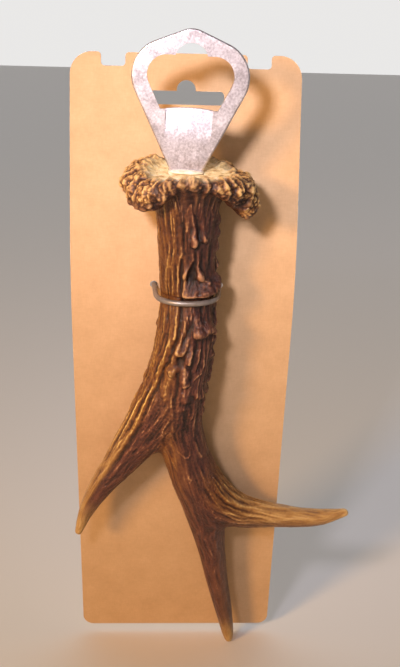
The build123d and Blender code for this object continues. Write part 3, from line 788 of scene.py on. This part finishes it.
def antler_material():
    """Stained, ridged bone: dark grooves, worn light crests and pale tips; a golden left side that is partly
    painted warm light, a dark right side that is partly painted shade, and darker towards the top of the
    beam.
    """
    n = Nodes("antler_bone")
    relief = n.attribute("relief")
    gold_and_lit_side = n.attribute("gold_and_lit_side")
    tip = n.attribute("tip")
    flow = n.attribute("flow", vector=True)
    fine = n.noise(flow, 1.1, detail=5.0, roughness=0.62)
    speckle = n.noise(n.coordinates(), 900.0, detail=3.0, roughness=0.6)
    level = n.plus(relief, n.math("SUBTRACT", fine, 0.5), 0.5)
    dark = n.ramp(level, [
        (0.06, (0.012, 0.004, 0.004)),
        (0.32, (0.060, 0.017, 0.014)),
        (0.60, (0.155, 0.048, 0.027)),
        (0.88, (0.620, 0.330, 0.160)),
    ])
    # Golden ramp: the bone's own golden stain, made brighter as painted warm light for the lit left side.
    golden_lit = n.ramp(level, [
        (0.06, (0.026, 0.007, 0.002)),
        (0.32, (0.145, 0.042, 0.009)),
        (0.60, (0.290, 0.122, 0.020)),
        (0.86, (0.850, 0.560, 0.160)),
    ])
    # Painted light and shade: golden and lit on the left, dark and shaded on the right, over the bone's own
    # stain.
    stain_and_side_light = n.mix(gold_and_lit_side, dark, golden_lit)
    dust = n.math("MULTIPLY", n.spread(speckle, 0.45, 0.75), 0.22)
    dusted = n.mix(dust, stain_and_side_light, (0.24, 0.105, 0.035))
    pale = n.ramp(level, [
        (0.12, (0.18, 0.075, 0.022)),
        (0.42, (0.56, 0.32, 0.095)),
        (0.72, (0.92, 0.66, 0.28)),
    ])
    colour = n.mix(n.math("MULTIPLY", tip, 0.75), dusted, pale)
    # Darker towards the top of the beam, paler towards the tines below.
    colour = n.mix(n.attribute("darker_above"), colour, (0.60, 0.54, 0.54), blend="MULTIPLY")
    roughness = n.spread(n.plus(level, speckle, 0.3), 0.1, 1.2, 0.46, 0.24)
    normal = n.bump(n.plus(fine, speckle, 0.25), 1.0, 0.0008)
    return n.finish(Base_Color=colour, Roughness=roughness, Normal=normal)


def burr_material():
    """Knobbly ochre bone with brown pockets, painted shade on the front and underside, and a pale flat top.
    """
    n = Nodes("burr_bone")
    relief = n.attribute("relief")
    top = n.attribute("top")
    shade = n.attribute("shade")
    place = n.coordinates()
    fine = n.noise(place, 700.0, detail=5.0, roughness=0.65)
    level = n.plus(relief, n.math("SUBTRACT", fine, 0.5), 0.5)
    ochre = n.ramp(level, [
        (0.05, (0.026, 0.007, 0.002)),
        (0.32, (0.090, 0.030, 0.009)),
        (0.56, (0.265, 0.114, 0.026)),
        (0.92, (0.640, 0.400, 0.140)),
    ])
    dark = n.ramp(level, [
        (0.15, (0.012, 0.004, 0.004)),
        (0.50, (0.055, 0.017, 0.012)),
        (0.90, (0.200, 0.078, 0.034)),
    ])
    cream = n.ramp(n.noise(place, 300.0, detail=4.0), [
        (0.32, (0.42, 0.23, 0.07)),
        (0.48, (0.84, 0.64, 0.30)),
        (0.70, (0.95, 0.86, 0.62)),
    ])
    # Painted shade: the shade mask turns the rim's front and the underside dark.
    colour = n.mix(n.math("MULTIPLY", shade, 0.9), ochre, dark)
    colour = n.mix(top, colour, cream)
    normal = n.bump(n.plus(fine, n.voronoi(place, 900.0), 0.35), 0.8, 0.0006)
    return n.finish(Base_Color=colour, Roughness=0.45, Normal=normal)


def tongue_bend(n):
    """Shading of the rounded bend where the plate's tongue slopes back."""
    right, up, out = head_axes()
    place = n.add("ShaderNodeTexCoord").outputs["Object"]
    along, across = (n.add("ShaderNodeVectorMath", operation="DOT_PRODUCT") for _ in range(2))
    for node, axis in ((along, up), (across, right)):
        n.put(place, node.inputs[0])
        node.inputs[1].default_value = axis
    from_bend = n.math("SUBTRACT", along.outputs["Value"], float(up @ HEAD_ENTRY + TONGUE_START) * MM)
    from_middle = n.math("SUBTRACT", across.outputs["Value"], float(right @ HEAD_ENTRY) * MM)
    near = n.math("SUBTRACT", BEND_REACH, n.math("ABSOLUTE", from_bend))
    near = n.math("MAXIMUM", near, 0.0)
    drop = n.math("MULTIPLY", n.math("MULTIPLY", near, near), -TONGUE_SLOPE / (4.0 * BEND_REACH))
    aside = n.math("ABSOLUTE", from_middle)
    side = n.spread(aside, TONGUE_HALF_WIDTH * MM, (TONGUE_HALF_WIDTH - 2.0) * MM)
    return n.bump(n.math("MULTIPLY", drop, side), 1.0, 1.0)


def steel_material():
    """Satin nickel plate over a pressed blank, with a faint orange-peel skin."""
    n = Nodes("plated_steel")
    place = n.coordinates()
    peel = n.noise(place, 1100.0, detail=3.0, roughness=0.6)
    cloud = n.noise(place, 160.0, detail=3.0)
    level = n.plus(n.math("MULTIPLY", peel, 0.6), cloud, 0.4)
    colour = n.ramp(level, [
        (0.36, (0.50, 0.45, 0.48)),
        (0.50, (0.70, 0.65, 0.68)),
        (0.64, (0.88, 0.84, 0.87)),
    ])
    roughness = n.spread(level, 0.35, 0.65, 0.33, 0.47)
    normal = n.bump(peel, 0.35, 0.00014, tongue_bend(n))
    return n.finish(Base_Color=colour, Metallic=1.0, Roughness=roughness, Normal=normal)


def resin_material():
    """Hard cream resin with a wet gloss."""
    n = Nodes("cream_resin")
    cloud = n.noise(n.coordinates(), 400.0, detail=3.0)
    colour = n.ramp(cloud, [(0.3, (0.66, 0.56, 0.38)), (0.7, (0.86, 0.80, 0.66))])
    normal = n.bump(cloud, 0.3, 0.0003)
    return n.finish(Base_Color=colour, Roughness=0.16, Normal=normal)


def wire_material():
    """Dull grey drawn wire with faint lengthwise draw lines."""
    n = Nodes("dull_grey_wire")
    flow = n.attribute("flow", vector=True)
    lines = n.noise(flow, 1.0, detail=4.0)
    cloud = n.noise(n.coordinates(), 350.0, detail=3.0)
    colour = n.ramp(cloud, [(0.3, (0.215, 0.185, 0.160)), (0.7, (0.330, 0.290, 0.255))])
    roughness = n.spread(lines, 0.2, 0.8, 0.36, 0.52)
    normal = n.bump(lines, 0.25, 0.0001)
    return n.finish(Base_Color=colour, Metallic=0.55, Roughness=roughness, Normal=normal)


def board_material():
    """Kraft board: fibres and mottle on the faces, paler fibre at the cut edges."""
    n = Nodes("kraft_board")
    mottle = n.noise(n.coordinates(), 90.0, detail=6.0, roughness=0.62)
    fibres = n.noise(n.coordinates((1.0, 1.0, 0.22)), 1500.0, detail=3.0, roughness=0.6)
    cross_fibres = n.noise(n.coordinates((0.2, 1.0, 1.0)), 1700.0, detail=3.0, roughness=0.6)
    fibre = n.math("MULTIPLY", n.math("ADD", fibres, cross_fibres), 0.5)
    level = n.plus(n.math("MULTIPLY", mottle, 0.5), fibre, 0.5)
    face = n.ramp(level, [
        (0.30, (0.540, 0.335, 0.170)),
        (0.50, (0.610, 0.390, 0.205)),
        (0.70, (0.680, 0.450, 0.245)),
    ])
    separate = n.add("ShaderNodeSeparateXYZ")
    n.put(n.add("ShaderNodeNewGeometry").outputs["True Normal"], separate.inputs[0])
    edge = n.spread(n.math("ABSOLUTE", separate.outputs["Y"]), 0.75, 0.55)
    colour = n.mix(edge, face, (0.78, 0.60, 0.40))
    normal = n.bump(level, 0.35, 0.0003)
    return n.finish(Base_Color=colour, Roughness=0.78, Normal=normal, Sheen_Weight=0.08)


def floor_material():
    """Plain pale floor."""
    return Nodes("pale_floor").finish(Base_Color=(*BACK_GREY, 1.0), Roughness=0.7)


# ---- the antler ----
beam = Branch(BEAM)
left_tine = Branch(LEFT_TINE)
right_tine = Branch(RIGHT_TINE)


def blend_by_depth(gaps, values):
    """Mix each branch's values; the branch that the point lies deepest in counts most."""
    weights = np.exp(-np.stack(gaps) / 1.2)
    weights /= weights.sum(axis=0)
    return sum(w[:, None] * v if v.ndim == 2 else w * v for w, v in zip(weights, values))


def antler_relief(points):
    """Depth in each branch; then the ridges, grooves, streaks, gold and flow, at each point."""
    wobble = perlin(points * 0.30, seed=3.0)
    gaps, ridges, grooves, streaks, golds_and_lit_sides, flows = [], [], [], [], [], []
    marked = ((beam, BEAM_LINES, 2), (left_tine, LEFT_LINES, 2), (right_tine, RIGHT_LINES, 0))
    for branch, lines, axis in marked:
        gap, local, radius = branch.locate(points)
        angle = np.degrees(np.arctan2(local[:, 1], local[:, 0]))
        mark = branch.marks(local[:, 2], axis)
        ridge, groove = line_heights(angle + 2.6 * wobble, mark + 0.6 * wobble, radius, lines)
        swayed = local.copy()
        swayed[:, :2] += 2.2 * perlin(local * 0.06, seed=9.0)[:, None] * np.array([1.0, -0.7])
        broad = ridged(perlin(swayed * BROAD_STREAKS, seed=21.0), 2.1)
        narrow = ridged(perlin(swayed * NARROW_STREAKS, seed=47.0), 2.0)
        break_up = perlin(swayed * STREAK_BREAKS, seed=71.0)
        turned = (angle + 360.0) % 360.0
        # Golden front and left, dark right: partly the bone's own stain, partly painted warm light on the
        # left and painted shade on the right.
        if branch is beam:
            gold_and_lit_side = smoothstep(turned, 72.0, 132.0) - smoothstep(turned, 215.0, 300.0)
            gold_and_lit_side = gold_and_lit_side * (1.0 - smoothstep(-mark, 150.0, 200.0))
        elif branch is left_tine:
            gold_and_lit_side = smoothstep(turned, 112.0, 134.0) - smoothstep(turned, 260.0, 320.0)
        else:
            gold_and_lit_side = 1.0 - smoothstep(np.abs((turned - 20.0 + 180.0) % 360.0 - 180.0), 35.0, 95.0)
        gaps.append(gap)
        ridges.append(ridge)
        grooves.append(groove)
        streaks.append(0.42 * broad + 0.40 * narrow + 0.22 * break_up)
        golds_and_lit_sides.append(np.clip(gold_and_lit_side, 0.0, 1.0))
        flows.append(swayed * np.array([1.0, 1.0, 0.12]))
    return gaps, [blend_by_depth(gaps, part) for part in (ridges, grooves, streaks, golds_and_lit_sides, flows)]


def distance_to_tips(points):
    """Distance from each point to the nearest tine tip."""
    tips = np.array([branch.points[-1] for branch in (beam, left_tine, right_tine)])
    return np.linalg.norm(points[:, None, :] - tips[None, :, :], axis=2).min(axis=1)


def knob_height(points, smooth_field, field):
    """How far each point stands out of the shaft because of a knob, from 0 to 1."""
    place = np.round((points - field.low) / field.step).astype(int)
    place = np.clip(place, 0, np.array(smooth_field.shape) - 1)
    return np.clip(smooth_field[tuple(place.T)] / 2.0, 0.0, 1.0)


def build_antler():
    """Beam and tines as one bone, with ridges, grooves and knobs."""
    low = np.array([-54.0, -52.0, -286.0])
    high = np.array([87.0, 18.0, -14.0])
    field = Field(low, high, 0.52)
    beam.fill(field)
    margin = 16.0
    for branch in (left_tine, right_tine):
        tine_high = np.minimum(branch.points.max(axis=0) + margin, high)
        tine = field.part(branch.points.min(axis=0) - margin, tine_high)
        branch.fill(tine)
        field.join(tine, soft=7.0)
    smooth_field = field.values.copy()
    add_ledges(field)
    top = np.array([-30.0, -50.0, -60.0])
    field.carve(top, high, lambda x, y, z: above_burr(x, y, z) - SEAT_DEPTH)
    points, quads, normals = skin(field)
    gaps, (ridge, groove, streak, gold_and_lit_side, flow) = antler_relief(points)
    from_tip = distance_to_tips(points)
    fade = smoothstep(from_tip, 6.0, 80.0)
    calm = 0.22 + 0.78 * fade
    on_beam = (gaps[0] < np.minimum(gaps[1], gaps[2])).astype(float)
    calm = calm * (1.0 - 0.55 * smoothstep(-points[:, 2], 138.0, 160.0) * on_beam)
    stand = knob_height(points, smooth_field, field)
    plain = np.clip(1.0 - 0.45 * ridge + 0.5 * groove - 0.4 * stand, 0.25, 1.0)
    height = (0.66 * ridge + 0.85 * groove) * (0.4 + 0.6 * fade)
    height = height + 1.1 * calm * plain * (streak - STREAK_LEVEL)
    height = height + 0.22 * calm * perlin(points * 0.8, seed=5.0)
    points = clear_neighbours(points + normals * height[:, None])
    piece = make_piece("antler_bone", points, quads, "opener", antler_material())
    fine, broad = bulge(points, quads, 4), bulge(points, quads, 40)
    edges = np.clip(1.5 * fine, -0.25, 0.40) + np.clip(0.28 * broad, -0.28, 0.20)
    relief = 0.34 + 0.45 * (streak - STREAK_LEVEL) * plain + 0.10 * ridge + 0.20 * groove + edges
    relief = 0.42 + (np.clip(relief, 0.0, 1.1) - 0.42) * (0.5 + 0.5 * fade)
    add_attribute(piece, "relief", relief)
    add_attribute(piece, "gold_and_lit_side", gold_and_lit_side)
    worn = smoothstep(points[:, 0], 15.0, 45.0) + 0.6 * smoothstep(-points[:, 0], 16.0, 36.0) * gold_and_lit_side
    tip = 1.0 - smoothstep(from_tip, 2.0, 24.0)
    add_attribute(piece, "tip", np.maximum(tip, 0.95 * worn * (0.4 + 0.6 * gold_and_lit_side)))
    # Darker towards the top of the beam, paler towards the tines below.
    add_attribute(piece, "darker_above", smoothstep(points[:, 2], -140.0, -70.0))
    add_attribute(piece, "flow", flow)
    return piece


def build_burr():
    """The frilled ring of bone nodules round the antler's base."""
    centre = np.array([BURR_X, shaft_axis_y(BURR_Z), BURR_Z])
    up = np.array([0.0, -math.sin(BOW_LEAN), math.cos(BOW_LEAN)])
    back = np.array([0.0, math.cos(BOW_LEAN), math.sin(BOW_LEAN)])
    right = np.array([1.0, 0.0, 0.0])
    low, high = centre - np.array([33.0, 32.0, 34.0]), centre + np.array([36.0, 32.0, 24.0])
    field = Field(low, high, 0.45)

    def place(angle, out, height):
        turn = math.radians(angle)
        return centre + right * out * math.cos(turn) + back * out * math.sin(turn) + up * height

    field.flare(centre, up, BURR_FLARE)
    field.carve(low, high, above_burr)
    for (*start, radius), (*end, next_radius) in zip(BURR_RIM, BURR_RIM[1:] + BURR_RIM[:1]):
        field.limb(place(*start), place(*end), radius, next_radius, soft=1.6)
    for (*start, radius), (*end, next_radius) in zip(BURR_LOBE, BURR_LOBE[1:]):
        field.limb(start, end, radius, next_radius, soft=2.0)
    points, quads, normals = skin(field)

    local = (points - centre) @ np.stack([right, back, up], axis=1)
    radius = np.linalg.norm(local[:, :2], axis=1)
    turn = np.arctan2(local[:, 1], local[:, 0])
    warp = perlin(points * 0.20, seed=17.0)
    warped = turn + 0.05 * warp
    wrapped = np.stack([np.cos(warped) * 20.0, np.sin(warped) * 20.0, local[:, 2]], axis=1)
    folds = ridged(perlin(wrapped * BURR_FOLDS, seed=31.0), 1.7)
    nodules = cell_bumps(points * 0.33, seed=11.0)
    small = cell_bumps(points * 0.70, seed=29.0)
    angles, _, heights, radii = np.array(BURR_RIM).T
    low_edge = np.interp(np.degrees(turn) % 360.0, angles, heights - 0.75 * radii)
    rim = smoothstep(radius, 13.5, 17.5) * smoothstep(local[:, 2], low_edge - 2.0, low_edge + 1.0)
    rim = np.maximum(rim, smoothstep(radius, 19.5, 22.5))
    flat_top = smoothstep(normals @ up, 0.45, 0.85) * (1.0 - smoothstep(radius, 15.0, 18.5))
    relief = 0.52 * folds + 0.34 * nodules + 0.14 * small
    flutes = ridged(perlin(wrapped * BURR_FLUTES, seed=63.0), 2.0)
    height = rim * (2.6 * (relief - 0.42) + 1.0 * warp) + (1.0 - rim) * 0.9 * (flutes - 0.4)
    height *= 1.0 - 0.8 * flat_top
    points = clear_neighbours(points + normals * height[:, None])
    piece = make_piece("antler_burr", points, quads, "opener", burr_material())
    inner_top = smoothstep(local[:, 2], 0.0, 3.0) * (1.0 - smoothstep(radius, 16.0, 21.0))
    # Painted shade where the surface faces down, and on the flare below the rim.
    under = smoothstep(-(normals @ up), 0.0, 0.7) + (1.0 - rim) * (1.0 - flat_top)
    fine, broad = bulge(points, quads, 4), bulge(points, quads, 40)
    edges = np.clip(1.5 * fine, -0.32, 0.35) + np.clip(0.32 * broad, -0.34, 0.22)
    add_attribute(piece, "relief", np.clip(0.20 + 0.50 * relief + edges, 0.0, 1.1))
    add_attribute(piece, "top", np.clip(np.maximum(flat_top, 0.75 * inner_top), 0.0, 1.0))
    # Painted shade on the front of the rim.
    front = 0.62 * smoothstep(-local[:, 1] / np.maximum(radius, 1.0), 0.72, 0.95)
    add_attribute(piece, "shade", np.clip(np.maximum(under, front) * (1.0 - inner_top), 0.0, 1.0))


# ---- the tie ----
def sweep(path, radius, segments=24):
    """Round tube along a path, with closed ends: points, faces and flow coordinates."""
    tangents = np.gradient(path, axis=0)
    tangents /= np.linalg.norm(tangents, axis=1, keepdims=True)
    side = np.cross(tangents[0], [0.0, 0.0, 1.0])
    lengths = np.concatenate([[0.0], np.cumsum(np.linalg.norm(np.diff(path, axis=0), axis=1))])
    turns = np.arange(segments) * 2.0 * math.pi / segments
    points, flow = [], []
    for centre, tangent, length in zip(path, tangents, lengths):
        side = side - tangent * (side @ tangent)
        side /= np.linalg.norm(side)
        front = np.cross(tangent, side)
        for turn in turns:
            points.append(centre + radius * (side * math.cos(turn) + front * math.sin(turn)))
            flow.append((4.0 * math.cos(turn), 4.0 * math.sin(turn), 0.15 * length))
    faces = []
    for ring in range(len(path) - 1):
        for i in range(segments):
            j = (i + 1) % segments
            low, high = ring * segments, (ring + 1) * segments
            faces.append((low + i, low + j, high + j, high + i))
    first = tuple(reversed(range(segments)))
    last = tuple(range((len(path) - 1) * segments, len(path) * segments))
    return points, faces + [first, last], flow


def bent_run(corners, radii, spacing=0.5):
    """Straight runs joined by round bends, sampled as a dense path."""
    corners = [np.array(c, float) for c in corners]
    path = [corners[0]]
    for before, corner, after, radius in zip(corners, corners[1:], corners[2:], radii):
        a = (before - corner) / np.linalg.norm(before - corner)
        b = (after - corner) / np.linalg.norm(after - corner)
        half = math.acos(float(np.clip(a @ b, -1.0, 1.0))) / 2.0
        middle = (a + b) / np.linalg.norm(a + b)
        centre = corner + middle * radius / math.sin(half)
        start = corner + a * radius / math.tan(half)
        full_turn = math.pi - 2.0 * half
        first = (start - centre) / radius
        steps = max(int(radius * full_turn / spacing), 6)
        for k in range(steps + 1):
            angle = full_turn * k / steps
            path.append(centre + radius * (first * math.cos(angle) - a * math.sin(angle)))
    path.append(corners[-1])
    dense = [path[0]]
    for a, b in zip(path, path[1:]):
        steps = max(int(np.linalg.norm(b - a) / spacing), 1)
        for k in range(1, steps + 1):
            dense.append(a + (b - a) * k / steps)
    return np.array(dense)


def build_tie():
    """The tie: in through one hole, round the shaft, out, and twisted behind the card."""
    slope = WIRE_DROP / WIRE_FRONT_REACH

    def at(x, y):
        return (TIE_X + x, CREST_Y + y, WIRE_HOLE_Z + slope * y)

    behind = WIRE_BACK_REACH + 1.1
    half = [
        (TWIST_RADIUS, behind),
        (4.5, WIRE_BACK_REACH + 0.2),
        (WIRE_BACK_HALF, WIRE_BACK_REACH),
        (WIRE_FRONT_HALF, -WIRE_FRONT_REACH),
    ]
    bends = [4.0, WIRE_BACK_BEND, WIRE_FRONT_BEND]
    corners = [at(-x, y) for x, y in half] + [at(x, y) for x, y in reversed(half)]
    loop = bent_run(corners, bends + bends[::-1])
    steps = 90
    strands = []
    for start in (math.pi, 0.0):
        strand = []
        for k in range(1, steps + 1):
            share = k / steps
            turn = start + TWIST_TURNS * 2.0 * math.pi * share
            x, y, _ = at(TWIST_RADIUS * math.cos(turn), behind + 0.6 + TWIST_RADIUS * math.sin(turn))
            strand.append((x, y, WIRE_HOLE_Z - TWIST_LENGTH * share))
        strands.append(np.array(strand))
    path = np.vstack([strands[0][::-1], loop, strands[1]])
    for _ in range(6):
        path[1:-1] = 0.5 * path[1:-1] + 0.25 * (path[:-2] + path[2:])
    points, faces, flow = sweep(path, WIRE_RADIUS)
    piece = make_piece("tie_loop", points, faces, "card", wire_material())
    add_attribute(piece, "flow", flow)
    return piece


# ---- put it together ----
def dress(node, material):
    """Give a CAD node its finished material."""
    mesh = bpy.data.objects[node].data
    mesh.materials.clear()
    mesh.materials.append(material)


bone = build_antler()
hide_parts("antler_handle")
build_burr()
tie = build_tie()
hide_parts("tie_wire")
dress("opener_plate", steel_material())
dress("adhesive_fill", resin_material())
dress("display_card", board_material())


def build_stage():
    """A wide pale floor just under the lowest tip."""
    low = cad_box[0][2] - 0.0005
    half = 40.0
    mesh = bpy.data.meshes.new("floor")
    corners = [(-half, -half, low), (half, -half, low), (half, half, low), (-half, half, low)]
    mesh.from_pydata(corners, [], [(0, 1, 2, 3)])
    mesh.materials.append(floor_material())
    new_object("floor", mesh)


def add_light(name, place, target, size, power, colour, spread=180.0):
    """A square soft light aimed at a spot; a small spread (in degrees) gathers it."""
    light = bpy.data.lights.new(name, "AREA")
    light.size = size
    light.energy = power
    light.color = colour
    light.spread = math.radians(spread)
    lamp = new_object(name, light)
    lamp.location = place
    aim = Vector(target) - Vector(place)
    lamp.rotation_euler = aim.to_track_quat("-Z", "Y").to_euler()


def build_world():
    """Plain studio surroundings, paler behind the object than in front of it."""
    world = bpy.data.worlds.new("studio")
    world.use_nodes = True
    tree = world.node_tree
    direction = tree.nodes.new("ShaderNodeTexCoord").outputs["Generated"]
    split = tree.nodes.new("ShaderNodeSeparateXYZ")
    tree.links.new(direction, split.inputs["Vector"])
    ramp = tree.nodes.new("ShaderNodeValToRGB")
    tree.links.new(split.outputs["Y"], ramp.inputs["Fac"])
    for stop, place, grey in zip(ramp.color_ramp.elements, (0.0, 0.6), (FRONT_GREY, BACK_GREY)):
        stop.position = place
        stop.color = (*grey, 1.0)
    tree.links.new(ramp.outputs["Color"], tree.nodes["Background"].inputs["Color"])
    bpy.context.scene.world = world


def build_lights():
    """A cool key near the head, a warm lamp from the left and a wide front panel."""
    head, middle = (0.015, 0.0, -0.02), (0.0, 0.0, -0.12)
    add_light(
        "key", (-0.14, -0.42, 0.14), head,
        size=0.06, power=0.22, colour=(0.93, 0.87, 1.0), spread=54.0,
    )
    add_light("warm_lamp", (-0.75, -0.85, 0.25), middle, size=0.22, power=10.0, colour=(1.0, 0.57, 0.21))
    add_light("front_panel", (0.05, -1.05, 0.15), middle, size=1.0, power=1.1, colour=(1.0, 0.84, 0.76))
    build_world()
    bpy.context.scene.view_settings.view_transform = "Standard"


def build_camera():
    """Camera a little left of the middle, looking down at the object."""
    camera = bpy.data.cameras.new("camera")
    camera.sensor_width = 36.0
    camera.lens = CAMERA_LENS
    camera.clip_start = 0.01
    view = new_object("camera", camera)
    turn = Matrix.Rotation(-math.radians(CAMERA_YAW), 4, "Z")
    turn = turn @ Matrix.Rotation(math.pi / 2.0 - math.radians(CAMERA_PITCH), 4, "X")
    turn = turn @ Matrix.Rotation(math.radians(CAMERA_ROLL), 4, "Z")
    view.matrix_world = Matrix.Translation(Vector(CAMERA_PLACE)) @ turn
    bpy.context.scene.camera = view


build_stage()
build_lights()
build_camera()
